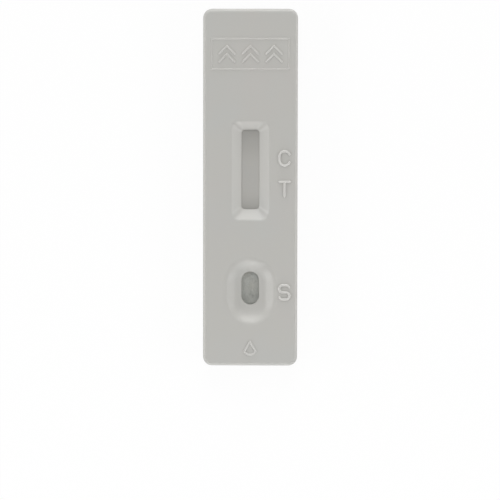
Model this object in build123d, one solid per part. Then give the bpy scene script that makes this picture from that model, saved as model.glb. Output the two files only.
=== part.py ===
from build123d import *
import os

# A lateral flow test cassette, in millimetres and degrees: two moulded housing shells pressed
# together around a test strip, which is a backing card with a membrane and three pads on it.
# X runs across the cassette, Y along it from the sample well to the strip's dry end, Z up.
# The origin is the centre of the base's underside.

# Housing outline and walls
body_width = 18.55
corner_radius = 1.8
least_corner_radius = 0.3
base_height = 2.2
cover_height = 2.6
side_wall = 1.2
floor_thickness = 1.0
plate_thickness = 1.0
cover_edge_radius = 0.75
base_edge_radius = 0.4
parting_chamfer = 0.12

# Tongue on the base, in a rebate of the cover
tongue_height = 0.6
tongue_thickness = 0.55
tongue_side_clearance = 0.05
tongue_top_clearance = 0.1

# Press pegs on the cover, in sockets on the base
peg_radius = 0.8
peg_length = 1.1
peg_clearance = 0.03
peg_tip_chamfer = 0.2
socket_radius = 1.6
socket_rise = 0.3
socket_wall_gap = 0.25
socket_floor_gap = 0.1
collar_radius = 1.4

# Test strip: the card is as long as its layers, and the housing is longer by a set distance
strip_width = 4.0
card_thickness = 0.25
sample_length = 19.0
sample_thickness = 0.4
conjugate_length = 6.5
conjugate_thickness = 0.35
membrane_length = 25.0
membrane_thickness = 0.2
absorbent_length = 15.5
absorbent_thickness = 0.8
pad_overlap = 2.0
pad_ramp = 0.4
card_end_distance = 5.0

# Strip channel in the base
strip_side_clearance = 0.15
strip_end_clearance = 0.3
rail_thickness = 0.7
rail_overlap = 0.25
rail_length = 6.0
rail_pitch = 8.5
bed_height = 1.4
bed_rib_thickness = 0.8
bed_rib_pitch = 5.0
end_stop_thickness = 0.8

# Hold-down bars under the cover
bar_thickness = 0.8
absorbent_bar_inset = 4.0

# Read window: a slot at the foot of a bevelled funnel, as long as the bare membrane leaves room
window_width = 3.5
window_near_clearance = 1.5
window_far_clearance = 2.3
window_corner_radius = 0.7
window_side_bevel = 1.95
window_far_bevel = 1.65
window_near_bevel = 2.1
window_mouth_radius = 1.5
window_lip_thickness = 0.25
window_lip_radius = 0.06
window_gap = 0.1
window_frame_wall = 0.8
window_rim_radius = 0.7

# Sample well: an oval bowl with a dished floor, round a port over the sample pad
port_width = 3.5
port_length = 6.5
port_edge_radius = 0.12
port_lip_height = 0.1
port_lip_thickness = 0.5
well_side_border = 1.15
well_near_border = 2.15
well_far_border = 0.95
well_floor_thickness = 0.25
well_dish_rise = 0.35
well_floor_radius = 3.4
well_side_bevel = 2.0
well_near_bevel = 1.4
well_far_bevel = 1.55
well_boss_wall = 1.2
well_boss_clearance = 0.95
well_rim_radius = 1.8

# Raised marks on the cover
mark_height = 0.25
low_mark_height = 0.17
mark_stroke = 0.5
mark_edge_radius = 0.22
mark_root = 0.1
letter_height = 3.3
letter_width = 2.55
letter_edge_distance = 2.55
control_mark_shift = 2.2
test_mark_shift = -3.8
sample_mark_shift = -0.2
c_opening = 22
s_opening = 25
drop_half_width = 1.1
drop_rise = 1.85
drop_sag = 0.65
drop_end_distance = 2.85
panel_width = 15.5
panel_length = 6.3
panel_line = 0.4
panel_line_height = 0.1
panel_end_distance = 8.85
chevron_count = 3
chevron_pitch = 4.6
chevron_half_width = 1.5
chevron_rise = 1.5
chevron_gap = 1.55

# Gate mark under the base
gate_radius = 1.5
gate_depth = 0.2
gate_nub_radius = 0.5
gate_nub_height = 0.12

# Working lengths: how far a cut runs past an open face, what counts as level, and the most
# of a wall's thickness that a round on each side may take
overcut = 1.0
hair = 0.001
round_limit = 0.45

# Heights that follow from the sizes above
top_z = base_height + cover_height
plate_z = top_z - plate_thickness
plate_middle_z = top_z - plate_thickness / 2
floor_middle_z = floor_thickness / 2
card_z = floor_thickness + bed_height
pad_z = card_z + card_thickness
membrane_top = pad_z + membrane_thickness
conjugate_top = pad_z + conjugate_thickness
sample_top = pad_z + sample_thickness
absorbent_top = pad_z + absorbent_thickness
socket_top = base_height + socket_rise
rail_top = pad_z + rail_overlap
window_foot_z = membrane_top + window_gap
window_lip_z = window_foot_z + window_lip_thickness
well_foot_z = sample_top + port_lip_height
port_z = well_foot_z + well_floor_thickness
dish_z = port_z + well_dish_rise

# Places along the strip, from its wet end to its dry end
card_length = sample_length + conjugate_length + membrane_length + absorbent_length - 3 * pad_overlap
body_length = card_length + 2 * card_end_distance
card_low = -card_length / 2
card_high = card_length / 2
sample_high = card_low + sample_length
conjugate_low = sample_high - pad_overlap
conjugate_high = conjugate_low + conjugate_length
membrane_low = conjugate_high - pad_overlap
membrane_high = membrane_low + membrane_length
absorbent_low = membrane_high - pad_overlap

# Places along the cover: the window lies between the pads, and the well clear of the first overlap
window_low = conjugate_high + window_near_clearance + window_frame_wall
window_high = absorbent_low - window_far_clearance - window_frame_wall
window_y = (window_low + window_high) / 2
window_mouth_low = window_low - window_near_bevel
window_mouth_high = window_high + window_far_bevel
window_mouth_width = window_width + 2 * window_side_bevel
well_floor_high = conjugate_low - pad_ramp - well_boss_clearance - well_boss_wall
port_high = well_floor_high - well_far_border
port_low = port_high - port_length
well_floor_low = port_low - well_near_border
well_floor_width = port_width + 2 * well_side_border
well_mouth_low = well_floor_low - well_near_bevel
well_mouth_high = well_floor_high + well_far_bevel
well_mouth_width = well_floor_width + 2 * well_side_bevel
well_y = (well_mouth_low + well_mouth_high) / 2
panel_y = body_length / 2 - panel_end_distance
drop_y = drop_end_distance - body_length / 2
letter_x = body_width / 2 - letter_edge_distance

# Peg rows: one at each end, one between the well and the window, one between it and the panel
peg_edge_distance = side_wall + socket_wall_gap + socket_radius
peg_x = body_width / 2 - peg_edge_distance
end_peg_y = body_length / 2 - peg_edge_distance
near_peg_y = (well_mouth_high + window_mouth_low) / 2
far_peg_y = (window_mouth_high + panel_y - panel_length / 2) / 2
peg_rows = (-end_peg_y, near_peg_y, far_peg_y, end_peg_y)
peg_places = [(side * peg_x, y) for side in (-1, 1) for y in peg_rows]


def outline(inset=0.0):
    """The housing's plan outline, drawn in by inset."""
    radius = max(corner_radius - inset, least_corner_radius)
    return RectangleRounded(body_width - 2 * inset, body_length - 2 * inset, radius)


def block(sketch, low_z, high_z):
    """A flat shape made solid between two heights."""
    return extrude(Pos(0, 0, low_z) * sketch, high_z - low_z)


def rib(width, low_y, high_y, low_z, high_z):
    """A rib across the cassette, centred on X."""
    middle = Pos(0, (low_y + high_y) / 2, (low_z + high_z) / 2)
    return middle * Box(width, high_y - low_y, high_z - low_z)


def funnel(low_sketch, low_z, high_sketch, high_z):
    """A straight-sided funnel between two like outlines."""
    low_face = (Pos(0, 0, low_z) * low_sketch).face()
    high_face = (Pos(0, 0, high_z) * high_sketch).face()
    return loft([low_face, high_face], ruled=True)


def level_edges(solid, z, width, low_y, high_y):
    """Edges at height z inside a rectangle on the centre line."""
    level = solid.edges().filter_by_position(Axis.Z, z - hair, z + hair)
    across = level.filter_by_position(Axis.X, -width / 2 - hair, width / 2 + hair)
    return across.filter_by_position(Axis.Y, low_y - hair, high_y + hair)


def oval(width, low_y, high_y, grow=0.0):
    """An oval with its long way along Y, grown on every side."""
    slot = SlotOverall(high_y - low_y + 2 * grow, width + 2 * grow)
    return Pos(0, (low_y + high_y) / 2) * Rot(0, 0, 90) * slot


def window_outline(share, grow=0.0):
    """The window's outline at a share of the way from slot to mouth, grown on every side."""
    low_y = window_low - share * window_near_bevel - grow
    high_y = window_high + share * window_far_bevel + grow
    width = window_width + 2 * (share * window_side_bevel + grow)
    radius = window_corner_radius + share * (window_mouth_radius - window_corner_radius) + grow
    return Pos(0, (low_y + high_y) / 2) * RectangleRounded(width, high_y - low_y, radius)


def window_frame():
    """The window funnel's wall under the plate."""
    foot = window_outline(0, window_frame_wall)
    frame = funnel(foot, window_foot_z, window_outline(1, window_frame_wall), top_z)
    return frame & block(outline(), window_foot_z, plate_middle_z)


def window_cut():
    """The window's slot and the funnel over it."""
    bowl = funnel(window_outline(0), window_lip_z, window_outline(1), top_z)
    return bowl + block(window_outline(0), window_foot_z - overcut, window_lip_z)


def well_boss():
    """The bowl's wall under the plate, with a lip that presses on the sample pad."""
    wall = oval(well_floor_width, well_floor_low, well_floor_high, well_boss_wall)
    lip = oval(port_width, port_low, port_high, port_lip_thickness)
    return block(wall, well_foot_z, plate_middle_z) + block(lip, sample_top, plate_middle_z)


def well_cut():
    """The bowl, its dished floor and the port through it."""
    port = oval(port_width, port_low, port_high)
    floor = oval(well_floor_width, well_floor_low, well_floor_high)
    mouth = oval(well_mouth_width, well_mouth_low, well_mouth_high)
    bowl = funnel(port, port_z, floor, dish_z) + funnel(floor, dish_z, mouth, top_z)
    turn = level_edges(bowl, dish_z, well_floor_width, well_floor_low, well_floor_high)
    return fillet(turn, well_floor_radius) + block(port, sample_top - overcut, port_z)


def soften_openings(shell):
    """Rounds the rims of the window and the well, and the edges of the slot and the port."""
    rim = level_edges(shell, top_z, window_mouth_width, window_mouth_low, window_mouth_high)
    shell = fillet(rim, window_rim_radius)
    rim = level_edges(shell, top_z, well_mouth_width, well_mouth_low, well_mouth_high)
    shell = fillet(rim, well_rim_radius)
    lip = level_edges(shell, window_lip_z, window_width, window_low, window_high)
    shell = fillet(lip, min(window_lip_radius, round_limit * window_lip_thickness))
    lip = level_edges(shell, port_z, port_width, port_low, port_high)
    return fillet(lip, min(port_edge_radius, round_limit * well_floor_thickness))


def peg():
    """A press peg on a collar that stops on its socket."""
    pin = block(Circle(peg_radius), socket_top - peg_length, plate_middle_z)
    pin = chamfer(pin.faces().sort_by(Axis.Z)[0].edges(), peg_tip_chamfer)
    return pin + block(Circle(collar_radius), socket_top, plate_middle_z)


def hold_down_bars():
    """Bars that press the strip's overlaps and its absorbent pad onto the bed."""
    seats = [
        (sample_high - pad_overlap / 2, sample_top + conjugate_thickness),
        (absorbent_low + pad_overlap / 2, absorbent_top + membrane_thickness),
        (membrane_high + absorbent_bar_inset, absorbent_top),
        (card_high - absorbent_bar_inset, absorbent_top),
    ]
    half = bar_thickness / 2
    return [rib(strip_width, y - half, y + half, foot_z, plate_middle_z) for y, foot_z in seats]


def stroke(*lines):
    """A pen stroke with round ends along joined lines."""
    path = Wire.combine([line.edge() for line in lines])[0]
    return make_face(offset(path, mark_stroke / 2).edges())


def letter_c():
    """The letter beside the control line."""
    bow = (letter_width - mark_stroke) / 2
    half_back = (letter_height - mark_stroke) / 2 - bow
    upper = CenterArc((0, half_back), bow, c_opening, 180 - c_opening)
    back = Line((-bow, half_back), (-bow, -half_back))
    lower = CenterArc((0, -half_back), bow, 180, 180 - c_opening)
    return stroke(upper, back, lower)


def letter_t():
    """The letter beside the test line."""
    half_height = (letter_height - mark_stroke) / 2
    half_bar = (letter_width - mark_stroke) / 2
    bar = stroke(Line((-half_bar, half_height), (half_bar, half_height)))
    stem = stroke(Line((0, half_height), (0, -half_height)))
    return bar + stem


def letter_s():
    """The letter beside the sample well."""
    bow = (letter_height - mark_stroke) / 4
    flat = (letter_width - mark_stroke) / 2 - bow
    return stroke(
        CenterArc((flat, bow), bow, s_opening, 90 - s_opening),
        Line((flat, 2 * bow), (-flat, 2 * bow)),
        CenterArc((-flat, bow), bow, 90, 180),
        Line((-flat, 0), (flat, 0)),
        CenterArc((flat, -bow), bow, 90, -180),
        Line((flat, -2 * bow), (-flat, -2 * bow)),
        CenterArc((-flat, -bow), bow, 270, s_opening - 90),
    )


def drop_sign():
    """A drop's outline: straight sides from its tip to its widest line, and a curved foot."""
    left = Line((0, drop_rise), (-drop_half_width, 0))
    foot = ThreePointArc((-drop_half_width, 0), (0, -drop_sag), (drop_half_width, 0))
    right = Line((drop_half_width, 0), (0, drop_rise))
    middle = make_face([left.edge(), foot.edge(), right.edge()])
    return offset(middle, mark_stroke / 2) - offset(middle, -mark_stroke / 2)


def panel_border():
    """The line round the panel near the dry end."""
    inner = Rectangle(panel_width - 2 * panel_line, panel_length - 2 * panel_line)
    return Rectangle(panel_width, panel_length) - inner


def arrowhead():
    """One arrowhead that points the way the strip flows."""
    left = Line((-chevron_half_width, -chevron_rise / 2), (0, chevron_rise / 2))
    right = Line((0, chevron_rise / 2), (chevron_half_width, -chevron_rise / 2))
    return stroke(left, right)


def ridge(x, y, face, width, height):
    """A mark raised from the top face, rounded along its edges."""
    solid = block(Pos(x, y) * face, top_z - mark_root, top_z + height)
    top_edges = solid.faces().sort_by(Axis.Z)[-1].edges()
    return fillet(top_edges, min(mark_edge_radius, round_limit * width))


def marks():
    """Every raised mark: three letters, the drop, and the panel with its arrowheads."""
    ridges = [
        ridge(letter_x, window_y + control_mark_shift, letter_c(), mark_stroke, mark_height),
        ridge(letter_x, window_y + test_mark_shift, letter_t(), mark_stroke, mark_height),
        ridge(letter_x, well_y + sample_mark_shift, letter_s(), mark_stroke, mark_height),
        ridge(0, drop_y, drop_sign(), mark_stroke, low_mark_height),
        ridge(0, panel_y, panel_border(), panel_line, panel_line_height),
    ]
    for index in range(chevron_count):
        x = (index - (chevron_count - 1) / 2) * chevron_pitch
        for side in (-1, 1):
            y = panel_y + side * chevron_gap / 2
            ridges.append(ridge(x, y, arrowhead(), mark_stroke, low_mark_height))
    return ridges


def make_cover():
    """The upper shell: plate, skirt, window, well, pegs, hold-down bars and marks."""
    shell = block(outline(), base_height, top_z)
    shell = fillet(shell.faces().sort_by(Axis.Z)[-1].edges(), cover_edge_radius)
    shell = chamfer(shell.faces().sort_by(Axis.Z)[0].edges(), parting_chamfer)
    shell -= block(outline(side_wall), base_height - overcut, plate_z)
    rebate = outline(side_wall - tongue_thickness - tongue_side_clearance)
    shell -= block(rebate, base_height - overcut, base_height + tongue_height + tongue_top_clearance)
    shell += window_frame()
    shell += well_boss()
    shell += [Pos(x, y) * peg() for x, y in peg_places]
    shell += hold_down_bars()
    shell -= window_cut()
    shell -= well_cut()
    shell = soften_openings(shell)
    return shell + marks()


def channel():
    """Rails, cross ribs and end stops that hold the strip off the floor."""
    rail_x = (strip_width + rail_thickness) / 2 + strip_side_clearance
    channel_width = 2 * rail_x + rail_thickness
    rail_count = int((card_length - rail_length) // rail_pitch) + 1
    rib_count = int((card_length - bed_rib_thickness) // bed_rib_pitch) + 1
    pieces = []
    for index in range(rail_count):
        low_y = (index - (rail_count - 1) / 2) * rail_pitch - rail_length / 2
        rail = rib(rail_thickness, low_y, low_y + rail_length, floor_middle_z, rail_top)
        pieces += [Pos(side * rail_x) * rail for side in (-1, 1)]
    for index in range(rib_count):
        low_y = (index - (rib_count - 1) / 2) * bed_rib_pitch - bed_rib_thickness / 2
        pieces.append(rib(channel_width, low_y, low_y + bed_rib_thickness, floor_middle_z, card_z))
    low_y = card_high + strip_end_clearance
    high_y = low_y + end_stop_thickness
    pieces.append(rib(channel_width, low_y, high_y, floor_middle_z, rail_top))
    pieces.append(rib(channel_width, -high_y, -low_y, floor_middle_z, rail_top))
    return pieces


def make_base():
    """The lower shell: tray, tongue, strip channel, peg sockets and gate mark."""
    tray = block(outline(), 0, base_height)
    tray = fillet(tray.faces().sort_by(Axis.Z)[0].edges(), base_edge_radius)
    tray = chamfer(tray.faces().sort_by(Axis.Z)[-1].edges(), parting_chamfer)
    tongue = outline(side_wall - tongue_thickness)
    tray += block(tongue, floor_middle_z, base_height + tongue_height)
    tray -= block(outline(side_wall), floor_thickness, base_height + tongue_height + overcut)
    socket = block(Circle(socket_radius), floor_middle_z, socket_top)
    bore = block(Circle(peg_radius + peg_clearance), socket_top - peg_length - socket_floor_gap, socket_top)
    tray += [Pos(x, y) * socket for x, y in peg_places]
    tray += channel()
    tray -= [Pos(x, y) * bore for x, y in peg_places]
    tray -= block(Circle(gate_radius), -overcut, gate_depth)
    return tray + block(Circle(gate_nub_radius), gate_depth - gate_nub_height, floor_middle_z)


def sheet(points, thickness):
    """A strip layer of even thickness over a run of (y, z) points on its underside."""
    raised = [(y, z + thickness) for y, z in reversed(points)]
    side = make_face(Polyline(*points, *raised, close=True).edges())
    return extrude(Plane.YZ.offset(-strip_width / 2) * side, strip_width)


def make_card():
    """The stiff backing card."""
    return sheet([(card_low, card_z), (card_high, card_z)], card_thickness)


def make_membrane():
    """The membrane, flat on the card."""
    return sheet([(membrane_low, pad_z), (membrane_high, pad_z)], membrane_thickness)


def make_conjugate_pad():
    """The conjugate pad, which climbs onto the membrane's wet end."""
    run = [
        (conjugate_low, pad_z),
        (membrane_low - pad_ramp, pad_z),
        (membrane_low, membrane_top),
        (conjugate_high, membrane_top),
    ]
    return sheet(run, conjugate_thickness)


def make_sample_pad():
    """The sample pad, which climbs onto the conjugate pad."""
    run = [
        (card_low, pad_z),
        (conjugate_low - pad_ramp, pad_z),
        (conjugate_low, conjugate_top),
        (sample_high, conjugate_top),
    ]
    return sheet(run, sample_thickness)


def make_absorbent_pad():
    """The absorbent pad, whose wet end lies on the membrane."""
    run = [
        (absorbent_low, membrane_top),
        (membrane_high, membrane_top),
        (membrane_high + pad_ramp, pad_z),
        (card_high, pad_z),
    ]
    return sheet(run, absorbent_thickness)


nodes = {
    "top_cover": make_cover,
    "base_tray": make_base,
    "backing_card": make_card,
    "membrane": make_membrane,
    "conjugate_pad": make_conjugate_pad,
    "sample_pad": make_sample_pad,
    "absorbent_pad": make_absorbent_pad,
}

os.makedirs("parts", exist_ok=True)
for name, make in nodes.items():
    export_step(make(), f"parts/{name}.step")
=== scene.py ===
import bmesh
import bpy
import math
import random
from mathutils import Euler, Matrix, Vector, noise
from mathutils.bvhtree import BVHTree


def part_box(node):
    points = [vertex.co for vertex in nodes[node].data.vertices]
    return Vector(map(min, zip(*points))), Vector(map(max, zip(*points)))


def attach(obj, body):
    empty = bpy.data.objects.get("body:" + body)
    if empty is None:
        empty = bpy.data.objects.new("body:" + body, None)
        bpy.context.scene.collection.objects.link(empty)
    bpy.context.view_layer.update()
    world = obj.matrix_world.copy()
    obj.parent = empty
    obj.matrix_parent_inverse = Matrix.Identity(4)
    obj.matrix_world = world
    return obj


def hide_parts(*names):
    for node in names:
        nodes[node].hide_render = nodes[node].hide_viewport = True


mm = 0.001
noiseRange = (0.3, 0.7)      # what noise with some detail runs between
waveRange = (0.35, 0.65)     # and what slow noise runs between
patchRange = (0.5, 0.75)     # where a patch of tint fades in
fibreRange = (0.42, 0.68)    # from between the fibres to a fibre's back
fibreTurns = (12, 74, 131)   # degrees between X and each run of fibres
fibreFlank = 0.5             # power that sets how the painted shade between fibres lightens up a fibre's flanks towards its back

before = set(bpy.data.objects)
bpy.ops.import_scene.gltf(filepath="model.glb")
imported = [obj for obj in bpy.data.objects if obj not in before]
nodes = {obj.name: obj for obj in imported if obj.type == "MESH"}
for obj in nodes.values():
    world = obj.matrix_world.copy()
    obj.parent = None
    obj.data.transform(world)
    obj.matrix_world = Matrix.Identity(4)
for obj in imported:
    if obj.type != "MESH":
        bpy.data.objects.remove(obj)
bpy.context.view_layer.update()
print("frame loaded:", ", ".join(sorted(nodes)))


# Shader building

def place(tree, kind, x, y, **settings):
    node = tree.nodes.new(kind)
    node.location = (x, y)
    for key, value in settings.items():
        setattr(node, key, value)
    return node


def feed(tree, value, socket):
    # a socket is linked, anything else is the socket's own value
    if isinstance(value, bpy.types.NodeSocket):
        tree.links.new(value, socket)
    else:
        socket.default_value = value


def calc(tree, operation, first, second, x, y):
    node = place(tree, "ShaderNodeMath", x, y, operation=operation)
    feed(tree, first, node.inputs[0])
    feed(tree, second, node.inputs[1])
    return node.outputs[0]


def remap(tree, value, fromLow, fromHigh, toLow, toHigh, x, y):
    node = place(tree, "ShaderNodeMapRange", x, y)
    for name, number in zip(("Value", "From Min", "From Max", "To Min", "To Max"),
                            (value, fromLow, fromHigh, toLow, toHigh)):
        feed(tree, number, node.inputs[name])
    return node.outputs["Result"]


def mixColours(tree, factor, first, second, x, y):
    node = place(tree, "ShaderNodeMix", x, y, data_type="RGBA")
    feed(tree, factor, node.inputs["Factor"])
    feed(tree, first, node.inputs["A"])
    feed(tree, second, node.inputs["B"])
    return node.outputs["Result"]


def alongAxis(tree, axis, x, y):
    # where a point lies along one of the object's own axes, in metres
    coords = place(tree, "ShaderNodeTexCoord", x, y)
    parts = place(tree, "ShaderNodeSeparateXYZ", x + 200, y)
    tree.links.new(coords.outputs["Object"], parts.inputs[0])
    return parts.outputs[axis]


def grainNoise(tree, size, x, y, shift, detail):
    # noise whose grain is size millimetres across, and shift sets it apart from its neighbours
    coords = place(tree, "ShaderNodeTexCoord", x - 700, y)
    scale = calc(tree, "DIVIDE", 1 / mm, size, x - 500, y - 150)
    scaled = place(tree, "ShaderNodeVectorMath", x - 350, y, operation="SCALE")
    tree.links.new(coords.outputs["Object"], scaled.inputs[0])
    feed(tree, scale, scaled.inputs["Scale"])
    moved = place(tree, "ShaderNodeVectorMath", x - 180, y, operation="ADD")
    tree.links.new(scaled.outputs[0], moved.inputs[0])
    moved.inputs[1].default_value = (shift, shift / 2, -shift)
    texture = place(tree, "ShaderNodeTexNoise", x, y)
    tree.links.new(moved.outputs[0], texture.inputs["Vector"])
    texture.inputs["Scale"].default_value = 1
    texture.inputs["Detail"].default_value = detail
    return texture.outputs["Fac"]


def startGroup(name, inputs, outputs):
    group = bpy.data.node_groups.new(name, "ShaderNodeTree")
    for label, kind, value in inputs:
        socket = group.interface.new_socket(label, in_out="INPUT", socket_type=kind)
        socket.default_value = value
    for label, kind in outputs:
        group.interface.new_socket(label, in_out="OUTPUT", socket_type=kind)
    return group, place(group, "NodeGroupInput", -1200, 0), place(group, "NodeGroupOutput", 900, 0)


def makeMouldSkin():
    # the spark-eroded grain of a mould, and the slow waviness of a moulded wall
    group, given, out = startGroup(
        "mouldSkin",
        [("Grain Size", "NodeSocketFloat", 0.12), ("Wave Size", "NodeSocketFloat", 6.0),
         ("Grain Share", "NodeSocketFloat", 0.5)],
        [("Height", "NodeSocketFloat"), ("Grain", "NodeSocketFloat"), ("Wave", "NodeSocketFloat")])
    grain = grainNoise(group, given.outputs["Grain Size"], 0, 200, shift=3.1, detail=3)
    wave = grainNoise(group, given.outputs["Wave Size"], 0, -200, shift=7.7, detail=1)
    fine = calc(group, "MULTIPLY", grain, given.outputs["Grain Share"], 250, 200)
    group.links.new(calc(group, "ADD", fine, wave, 450, 100), out.inputs["Height"])
    group.links.new(grain, out.inputs["Grain"])
    group.links.new(wave, out.inputs["Wave"])
    return group


def makeFlowTint():
    # faint warm and cool patches, as melt that flowed unevenly leaves them
    group, given, out = startGroup(
        "flowTint",
        [("Base", "NodeSocketColor", (0.5, 0.5, 0.5, 1)), ("Warm", "NodeSocketColor", (0.5, 0.5, 0.5, 1)),
         ("Cool", "NodeSocketColor", (0.5, 0.5, 0.5, 1)), ("Patch Size", "NodeSocketFloat", 9.0),
         ("Amount", "NodeSocketFloat", 0.5)],
        [("Color", "NodeSocketColor")])
    warmth = grainNoise(group, given.outputs["Patch Size"], 0, 250, shift=1.3, detail=2)
    chill = grainNoise(group, given.outputs["Patch Size"], 0, -250, shift=12.9, detail=2)
    warmShare = remap(group, warmth, *patchRange, 0, given.outputs["Amount"], 220, 250)
    coolShare = remap(group, chill, *patchRange, 0, given.outputs["Amount"], 220, -250)
    warmed = mixColours(group, warmShare, given.outputs["Base"], given.outputs["Warm"], 450, 150)
    cooled = mixColours(group, coolShare, warmed, given.outputs["Cool"], 650, 50)
    group.links.new(cooled, out.inputs["Color"])
    return group


def makeFibreFelt():
    # crossed fibres lying in the plane of a pad; Tone is painted shade, dark between the fibres and light
    # on their backs
    group, given, out = startGroup(
        "fibreFelt",
        [("Fibre Width", "NodeSocketFloat", 0.03), ("Fibre Length", "NodeSocketFloat", 0.6)],
        [("Height", "NodeSocketFloat"), ("Tone", "NodeSocketFloat")])
    coords = place(group, "ShaderNodeTexCoord", -1200, 300)
    along = calc(group, "DIVIDE", 1 / mm, given.outputs["Fibre Length"], -1000, -100)
    across = calc(group, "DIVIDE", 1 / mm, given.outputs["Fibre Width"], -1000, -250)
    stretch = place(group, "ShaderNodeCombineXYZ", -800, -150)
    for socket, value in zip(stretch.inputs, (along, across, across)):
        feed(group, value, socket)
    highest = None
    for index, degrees in enumerate(fibreTurns):
        turned = place(group, "ShaderNodeVectorRotate", -600, 300 - 250 * index, rotation_type="Z_AXIS")
        group.links.new(coords.outputs["Object"], turned.inputs["Vector"])
        turned.inputs["Angle"].default_value = math.radians(degrees)
        scaled = place(group, "ShaderNodeVectorMath", -400, 300 - 250 * index, operation="MULTIPLY")
        group.links.new(turned.outputs["Vector"], scaled.inputs[0])
        group.links.new(stretch.outputs[0], scaled.inputs[1])
        texture = place(group, "ShaderNodeTexNoise", -200, 300 - 250 * index)
        group.links.new(scaled.outputs[0], texture.inputs["Vector"])
        texture.inputs["Scale"].default_value = 1
        texture.inputs["Detail"].default_value = 1
        ridge = remap(group, texture.outputs["Fac"], *fibreRange, 0, 1, 0, 300 - 250 * index)
        if highest is None:
            highest = ridge
        else:
            highest = calc(group, "MAXIMUM", highest, ridge, 250, 300 - 250 * index)
    group.links.new(highest, out.inputs["Height"])
    group.links.new(calc(group, "POWER", highest, fibreFlank, 500, -100), out.inputs["Tone"])
    return group


mouldSkin = makeMouldSkin()
flowTint = makeFlowTint()
fibreFelt = makeFibreFelt()


def useGroup(tree, group, x, y, values):
    node = place(tree, "ShaderNodeGroup", x, y, node_tree=group)
    for label, value in values.items():
        feed(tree, value, node.inputs[label])
    return node


def tintedColour(tree, look):
    tint = useGroup(tree, flowTint, -500, 200, {
        "Base": look["colour"], "Warm": look["warm"], "Cool": look["cool"],
        "Patch Size": look["patchSize"], "Amount": look["patchAmount"]})
    return tint.outputs["Color"]


def startMaterial(name, roughness, specular):
    material = bpy.data.materials.new(name)
    material.use_nodes = True
    tree = material.node_tree
    tree.nodes.clear()
    out = place(tree, "ShaderNodeOutputMaterial", 900, 0)
    shader = place(tree, "ShaderNodeBsdfPrincipled", 600, 0)
    shader.inputs["Roughness"].default_value = roughness
    shader.inputs["Specular IOR Level"].default_value = specular
    tree.links.new(shader.outputs["BSDF"], out.inputs["Surface"])
    return material, tree, shader


def addBump(tree, shader, height, depth, x, y):
    bump = place(tree, "ShaderNodeBump", x, y)
    bump.inputs["Distance"].default_value = depth * mm
    feed(tree, height, bump.inputs["Height"])
    tree.links.new(bump.outputs["Normal"], shader.inputs["Normal"])


def markHighlightShare(tree, markHighlight, wave, x, y):
    # 0 on the flat face and up to 1 on what stands proud of it: how much painted highlight the raised marks
    # get, uneven in slow patches
    level = alongAxis(tree, "Z", x - 500, y)
    height = remap(tree, level, markHighlight["start"] * mm, markHighlight["full"] * mm, 0, 1, x, y)
    patches = remap(tree, wave, *waveRange, markHighlight["least"], 1, x, y - 200)
    return calc(tree, "MULTIPLY", height, patches, x + 200, y)


def plastic(name, look, markHighlight=None):
    material, tree, shader = startMaterial(name, look["roughness"], look["specular"])
    skin = useGroup(tree, mouldSkin, -500, -200, {
        "Grain Size": look["grainSize"], "Wave Size": look["waveSize"], "Grain Share": look["grainShare"]})
    colour = tintedColour(tree, look)
    # painted highlight: raised marks are painted lighter than the face
    if markHighlight:
        share = markHighlightShare(tree, markHighlight, skin.outputs["Wave"], -100, 500)
        colour = mixColours(tree, share, colour, markHighlight["colour"], 300, 300)
    tree.links.new(colour, shader.inputs["Base Color"])
    smoothest = look["roughness"] - look["roughSpread"]
    roughest = look["roughness"] + look["roughSpread"]
    rough = remap(tree, skin.outputs["Grain"], *noiseRange, smoothest, roughest, 200, -100)
    tree.links.new(rough, shader.inputs["Roughness"])
    addBump(tree, shader, skin.outputs["Height"], look["skinDepth"], 300, -350)
    return material


def shareAlong(tree, stops, x, y):
    # a share that changes along Y; stops are pairs of a place in mm and the share there
    start, end = stops[0][0], stops[-1][0]
    spotShare = remap(tree, alongAxis(tree, "Y", x - 500, y), start * mm, end * mm, 0, 1, x, y)
    ramp = place(tree, "ShaderNodeValToRGB", x + 200, y)
    ramp.color_ramp.interpolation = "EASE"
    tree.links.new(spotShare, ramp.inputs["Fac"])
    for spot, _ in stops[1:-1]:
        ramp.color_ramp.elements.new((spot - start) / (end - start))
    for element, (_, share) in zip(ramp.color_ramp.elements, stops):
        element.color = (share, share, share, 1)
    return ramp.outputs["Color"]


def felt(name, look):
    material, tree, shader = startMaterial(name, look["roughness"], look["specular"])
    fibres = useGroup(tree, fibreFelt, -500, -200, {
        "Fibre Width": look["fibreWidth"], "Fibre Length": look["fibreLength"]})
    # painted shade: the colour darkens to the gap shade between the fibres
    colour = mixColours(tree, fibres.outputs["Tone"], look["paintedGapShade"], tintedColour(tree, look), 200, 150)
    # painted shade: the film or felt is darkened towards the ends of its window or port, where their walls
    # shade it
    if look["paintedEndShade"]:
        share = shareAlong(tree, look["paintedEndShade"], -200, 600)
        colour = mixColours(tree, share, colour, look["paintedShadeColour"], 400, 300)
    tree.links.new(colour, shader.inputs["Base Color"])
    addBump(tree, shader, fibres.outputs["Height"], look["fibreDepth"], 300, -350)
    return material


def addObject(name, data):
    thing = bpy.data.objects.new(name, data)
    bpy.context.scene.collection.objects.link(thing)
    return thing


def addMeshObject(name, shape, material):
    # the shape is used up
    mesh = bpy.data.meshes.new(name)
    shape.to_mesh(mesh)
    shape.free()
    mesh.materials.append(material)
    return addObject(name, mesh)


def dress(piece, material):
    piece.data.materials.clear()
    piece.data.materials.append(material)


# Housing

housingLook = {
    "colour": (0.473, 0.467, 0.442, 1),
    "warm": (0.482, 0.462, 0.443, 1),
    "cool": (0.462, 0.468, 0.455, 1),
    "patchSize": 11.0,       # mm
    "patchAmount": 0.5,
    "roughness": 0.32,
    "roughSpread": 0.04,
    "specular": 0.5,
    "grainSize": 0.14,       # mm
    "grainShare": 0.35,
    "waveSize": 7.0,         # mm
    "skinDepth": 0.012,      # mm
}

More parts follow.
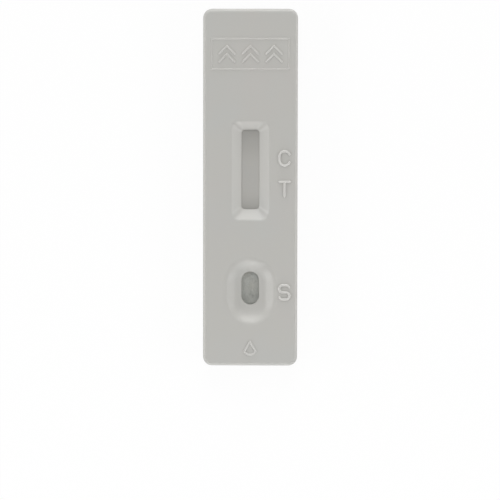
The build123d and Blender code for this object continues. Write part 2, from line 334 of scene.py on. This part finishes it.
# painted highlight: the raised letters and marks are painted lighter than the face, standing in for the
# light their flanks catch
paintedMarkHighlight = {
    "colour": (0.58, 0.573, 0.549, 1),
    "start": 4.9,            # mm, over the panel's border
    "full": 5.0,             # mm, near the letters' tops
    "least": 0.6,            # share of the painted highlight left in its faintest patches
}

dress(nodes["top_cover"], plastic("coverPlastic", housingLook, paintedMarkHighlight))
dress(nodes["base_tray"], plastic("trayPlastic", housingLook))
print("housing dressed")


# Backing card and membrane

cardLook = {
    "colour": (0.78, 0.78, 0.76, 1),
    "warm": (0.79, 0.77, 0.74, 1),
    "cool": (0.76, 0.78, 0.78, 1),
    "patchSize": 11.0,       # mm
    "patchAmount": 0.5,
    "roughness": 0.35,
    "roughSpread": 0.05,
    "specular": 0.5,
    "grainSize": 0.3,        # mm
    "grainShare": 0.35,
    "waveSize": 7.0,         # mm
    "skinDepth": 0.008,      # mm
}

membraneLook = {
    "colour": (0.546, 0.538, 0.511, 1),
    "paintedGapShade": (0.485, 0.477, 0.453, 1),
    "warm": (0.556, 0.538, 0.491, 1),
    "cool": (0.536, 0.538, 0.518, 1),
    "paintedShadeColour": (0.455, 0.448, 0.423, 1),
    # mm along Y, and how much painted shade the film gets there: painted shade darkens it towards the
    # window's ends, where the cover's walls shade it
    "paintedEndShade": [(-4.5, 1.0), (-0.8, 0.0), (4.0, 0.1), (9.3, 0.9), (10.2, 0.8), (11.8, 0.1)],
    "patchSize": 3.0,        # mm
    "patchAmount": 0.5,
    "roughness": 0.8,
    "specular": 0.3,
    "fibreWidth": 0.05,      # mm
    "fibreLength": 0.2,      # mm
    "fibreDepth": 0.003,     # mm
}

dress(nodes["backing_card"], plastic("cardPlastic", cardLook))
dress(nodes["membrane"], felt("membraneFilm", membraneLook))
print("card and membrane dressed")


# Felt pads: a CAD pad cut into small cells and roughened, with fibres bedded in its top

samplePad = {
    "cell": 0.3,             # mm between cuts
    "unevenness": 0.03,      # mm that the surface sinks at most
    "lumpSize": 0.5,         # mm
    "swell": 0.05,           # mm that the wettest place rises
    "fibres": 700,
    "fibreRadius": 0.012,    # mm
    "strayLength": (0.5, 1.6),  # mm
    "fibreSteps": 7,         # straight runs in a fibre
    "fibreBend": 0.35,       # radians that a fibre may turn at each step
    "fibreSink": 0.5,        # radii that its ends lie under the surface
    "fibreMargin": 4,        # radii that it keeps from the pad's edges
    "fewestPoints": 4,       # a stray with fewer is left out
    "underside": -0.3,       # what faces further down than this stays flat on the strip
    "seed": 11,
    "colour": (0.45, 0.455, 0.425, 1),
    "paintedGapShade": (0.29, 0.293, 0.275, 1),
    "warm": (0.47, 0.455, 0.4, 1),
    "cool": (0.435, 0.455, 0.44, 1),
    "paintedShadeColour": (0.33, 0.335, 0.315, 1),
    # mm along Y, and how much painted shade the felt gets there: painted shade, darkest near the port's
    # near end, where the port's wall shades it
    "paintedEndShade": [(-22.6, 0.2), (-21.7, 0.75), (-20.4, 0.23), (-18.5, 0.0)],
    "patchSize": 2.0,        # mm
    "patchAmount": 0.6,
    "roughness": 0.9,
    "specular": 0.2,
    "fibreWidth": 0.035,     # mm
    "fibreLength": 0.8,      # mm
    "fibreDepth": 0.02,      # mm
}
conjugatePad = dict(samplePad, fibres=240, seed=12, swell=0.0, paintedEndShade=None,
                    colour=(0.55, 0.42, 0.4, 1), warm=(0.6, 0.4, 0.38, 1),
                    cool=(0.52, 0.43, 0.43, 1), paintedGapShade=(0.4, 0.25, 0.24, 1))
absorbentPad = dict(samplePad, fibres=560, seed=13, swell=0.0, paintedEndShade=None,
                    fibreWidth=0.05, fibreLength=1.2,
                    colour=(0.66, 0.65, 0.6, 1), warm=(0.68, 0.65, 0.57, 1),
                    cool=(0.63, 0.65, 0.63, 1), paintedGapShade=(0.45, 0.44, 0.4, 1))
swellPlace = {"y": -19.8, "halfWidth": 1.6, "halfLength": 3.1}    # mm, inside the port
weldDistance = 1e-7          # m within which two corners are one
cutTolerance = 1e-8          # m within which a corner lies on a cut


def cutIntoCells(shape, low, high, cell):
    for axis in range(3):
        count = math.ceil((high[axis] - low[axis]) / (cell * mm))
        normal = Vector([float(axis == index) for index in range(3)])
        for index in range(1, count):
            point = low + normal * (high[axis] - low[axis]) * index / count
            geometry = shape.verts[:] + shape.edges[:] + shape.faces[:]
            bmesh.ops.bisect_plane(shape, geom=geometry, dist=cutTolerance, plane_co=point, plane_no=normal)


def roughen(shape, look):
    shape.normal_update()
    moves = []
    for vert in shape.verts:
        if vert.normal.z < look["underside"]:
            continue
        lump = (noise.noise(vert.co / (look["lumpSize"] * mm)) + 1) / 2    # 0 to 1
        sink = vert.normal * lump * look["unevenness"] * mm
        across = vert.co.x / (swellPlace["halfWidth"] * mm)
        along = (vert.co.y / mm - swellPlace["y"]) / swellPlace["halfLength"]
        rise = max(0.0, 1 - across ** 2) * max(0.0, 1 - along ** 2) * max(0.0, vert.normal.z)
        moves.append((vert, Vector((0, 0, rise * look["swell"] * mm)) - sink))
    for vert, move in moves:
        vert.co += move


tubeTurns = [math.radians(degrees) for degrees in (90, 210, 330)]    # the three sides of a fibre


def beddedFibre(shape, points, radius):
    # a three-sided tube that tapers to a point at both ends
    tip = shape.verts.new(points[0])
    tail = shape.verts.new(points[-1])
    rings = []
    for before, here, after in zip(points, points[1:], points[2:]):
        side = (after - before).cross(Vector((0, 0, 1))).normalized()
        ring = [side * math.cos(turn) + Vector((0, 0, math.sin(turn))) for turn in tubeTurns]
        rings.append([shape.verts.new(here + radius * spoke) for spoke in ring])
    for corner in range(len(tubeTurns)):
        following = (corner + 1) % len(tubeTurns)
        shape.faces.new((tip, rings[0][corner], rings[0][following]))
        shape.faces.new((tail, rings[-1][following], rings[-1][corner]))
        for first, second in zip(rings, rings[1:]):
            shape.faces.new((first[corner], second[corner], second[following], first[following]))


def strewFibres(shape, low, high, look):
    draw = random.Random(look["seed"])
    surface = BVHTree.FromBMesh(shape)
    radius = look["fibreRadius"] * mm
    margin = look["fibreMargin"] * radius
    steps = look["fibreSteps"]
    for _ in range(look["fibres"]):
        x = draw.uniform(low.x + margin, high.x - margin)
        y = draw.uniform(low.y + margin, high.y - margin)
        heading = draw.uniform(0, 2 * math.pi)
        step = draw.uniform(*look["strayLength"]) * mm / steps
        bend = draw.uniform(-look["fibreBend"], look["fibreBend"])
        points = []
        for index in range(steps + 1):
            hit = surface.ray_cast(Vector((x, y, high.z + margin)), Vector((0, 0, -1)))[0]
            inside = low.x + margin < x < high.x - margin and low.y + margin < y < high.y - margin
            if hit is None or not inside:
                break
            lift = math.sin(math.pi * index / steps) - look["fibreSink"]
            points.append(hit + Vector((0, 0, lift * radius)))
            x += step * math.cos(heading)
            y += step * math.sin(heading)
            heading += bend
        if len(points) >= look["fewestPoints"]:
            beddedFibre(shape, points, radius)


def makePad(pieceName, node, look):
    shape = bmesh.new()
    shape.from_mesh(nodes[node].data)
    bmesh.ops.remove_doubles(shape, verts=shape.verts[:], dist=weldDistance)
    low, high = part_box(node)
    cutIntoCells(shape, low, high, look["cell"])
    roughen(shape, look)
    strewFibres(shape, low, high, look)
    bmesh.ops.recalc_face_normals(shape, faces=shape.faces[:])
    pad = addMeshObject(pieceName, shape, felt(pieceName + "Felt", look))
    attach(pad, "root")
    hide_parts(node)
    print(pieceName, "has", len(pad.data.polygons), "faces")


makePad("sampleFeltPad", "sample_pad", samplePad)
makePad("conjugateFeltPad", "conjugate_pad", conjugatePad)
makePad("absorbentFeltPad", "absorbent_pad", absorbentPad)


# Floor, world and lamps

floorLook = {
    "halfSize": 2.0,         # m
    "drop": 0.01,            # mm under the base, so that the two don't share a plane
    "colour": (0.95, 0.95, 0.95, 1),
    "whiteShare": 0.93,      # how much of what the camera sees is plain white, over the lit floor
}


def seenDirectly(tree, x, y):
    # 1 for the camera, for gloss and for glass, 0 for light that bounces
    rays = place(tree, "ShaderNodeLightPath", x, y)
    gloss = calc(tree, "MAXIMUM", rays.outputs["Is Camera Ray"], rays.outputs["Is Glossy Ray"], x + 200, y)
    return calc(tree, "MAXIMUM", gloss, rays.outputs["Is Transmission Ray"], x + 400, y)


def mixBySight(tree, share, unseen, seen, outputKind):
    mix = place(tree, "ShaderNodeMixShader", 300, 0)
    tree.links.new(share, mix.inputs["Fac"])
    tree.links.new(unseen.outputs[0], mix.inputs[1])
    tree.links.new(seen.outputs[0], mix.inputs[2])
    tree.links.new(mix.outputs[0], place(tree, outputKind, 600, 0).inputs["Surface"])


def makeFloor():
    material = bpy.data.materials.new("floorWhite")
    material.use_nodes = True
    tree = material.node_tree
    tree.nodes.clear()
    lit = place(tree, "ShaderNodeBsdfDiffuse", 0, 100)
    lit.inputs["Color"].default_value = floorLook["colour"]
    white = place(tree, "ShaderNodeEmission", 0, -100)
    share = calc(tree, "MULTIPLY", seenDirectly(tree, -700, 300), floorLook["whiteShare"], 50, 300)
    mixBySight(tree, share, lit, white, "ShaderNodeOutputMaterial")

    shape = bmesh.new()
    bmesh.ops.create_grid(shape, x_segments=1, y_segments=1, size=floorLook["halfSize"])
    floor = addMeshObject("floor", shape, material)
    floor.location.z = -floorLook["drop"] * mm


worldLook = {
    "fill": (1.0, 1.0, 1.0, 1),
    "fillStrength": 0.285,
    "white": (1.0, 1.0, 1.0, 1),    # what the camera and gloss see
}


def makeWorld():
    world = bpy.data.worlds.new("studio")
    bpy.context.scene.world = world
    world.use_nodes = True
    tree = world.node_tree
    tree.nodes.clear()
    fill = place(tree, "ShaderNodeBackground", 0, 100)
    fill.inputs["Color"].default_value = worldLook["fill"]
    fill.inputs["Strength"].default_value = worldLook["fillStrength"]
    white = place(tree, "ShaderNodeBackground", 0, -100)
    white.inputs["Color"].default_value = worldLook["white"]
    mixBySight(tree, seenDirectly(tree, -600, 300), fill, white, "ShaderNodeOutputWorld")


# azimuth 0 is the +X side and 90 the +Y side; degrees, metres and watts
lampWidth = 1.0              # times the lamp's distance
lamps = {
    "farGrazing": {"azimuth": 90, "elevation": 7, "distance": 1.5, "height": 0.23, "power": 8.0},
    "farLow": {"azimuth": 90, "elevation": 24, "distance": 1.5, "height": 0.42, "power": 3.6},
    "farMiddle": {"azimuth": 90, "elevation": 36, "distance": 1.5, "height": 0.5, "power": 4.5},
    "farHigh": {"azimuth": 90, "elevation": 55, "distance": 1.5, "height": 0.67, "power": 2.8},
    "nearGrazing": {"azimuth": 270, "elevation": 7, "distance": 0.45, "height": 0.07, "power": 0.27},
    "nearLow": {"azimuth": 270, "elevation": 14, "distance": 0.45, "height": 0.1, "power": 0.46},
    "nearMiddle": {"azimuth": 270, "elevation": 36, "distance": 0.45, "height": 0.15, "power": 0.245},
    "leftLow": {"azimuth": 190, "elevation": 24, "distance": 0.9, "height": 0.25, "power": 3.55},
    "rightLow": {"azimuth": -10, "elevation": 24, "distance": 0.9, "height": 0.25, "power": 3.15},
}


def addLamp(name, look):
    light = bpy.data.lights.new(name, "AREA")
    light.shape = "RECTANGLE"
    light.size = look["distance"] * lampWidth
    light.size_y = look["height"]
    light.energy = look["power"]
    lamp = addObject(name, light)
    turn = math.radians(look["azimuth"])
    lift = math.radians(look["elevation"])
    out = Vector((math.cos(turn) * math.cos(lift), math.sin(turn) * math.cos(lift), math.sin(lift)))
    lamp.location = out * look["distance"]
    lamp.rotation_mode = "QUATERNION"
    lamp.rotation_quaternion = (-out).to_track_quat("-Z", "Y")


makeFloor()
makeWorld()
for lampName, lampLook in lamps.items():
    addLamp(lampName, lampLook)
print("stage lit by", len(lamps), "panels")


# Camera: looks down from over the dry end, from far enough away that the sides stay nearly parallel

cameraLook = {
    "frameWidth": 98.1,      # mm across the picture at the cover's top face
    "distance": 400.0,       # mm
    "aimX": -0.025,          # mm
    "aimY": -12.17,          # mm
    "faceHeight": 4.8,       # mm
    "tilt": -3.0,            # degrees off straight down, towards the dry end
    "lean": 1.0,             # degrees, towards the side with the letters
    "roll": 0.1,             # degrees
    "sensor": 36.0,          # mm
    "clipStart": 10.0,       # mm, nothing nearer to the camera shows
}


def addCamera():
    camera = bpy.data.cameras.new("camera")
    camera.sensor_width = cameraLook["sensor"]
    camera.lens = cameraLook["sensor"] * cameraLook["distance"] / cameraLook["frameWidth"]
    camera.clip_start = cameraLook["clipStart"] * mm
    viewer = addObject("camera", camera)
    turn = Euler([math.radians(cameraLook[key]) for key in ("tilt", "lean", "roll")])
    aim = Vector((cameraLook["aimX"], cameraLook["aimY"], cameraLook["faceHeight"])) * mm
    viewer.location = aim + turn.to_matrix() @ Vector((0, 0, cameraLook["distance"] * mm))
    viewer.rotation_euler = turn
    bpy.context.scene.camera = viewer


addCamera()
bpy.context.scene.view_settings.view_transform = "Standard"
print("camera placed")
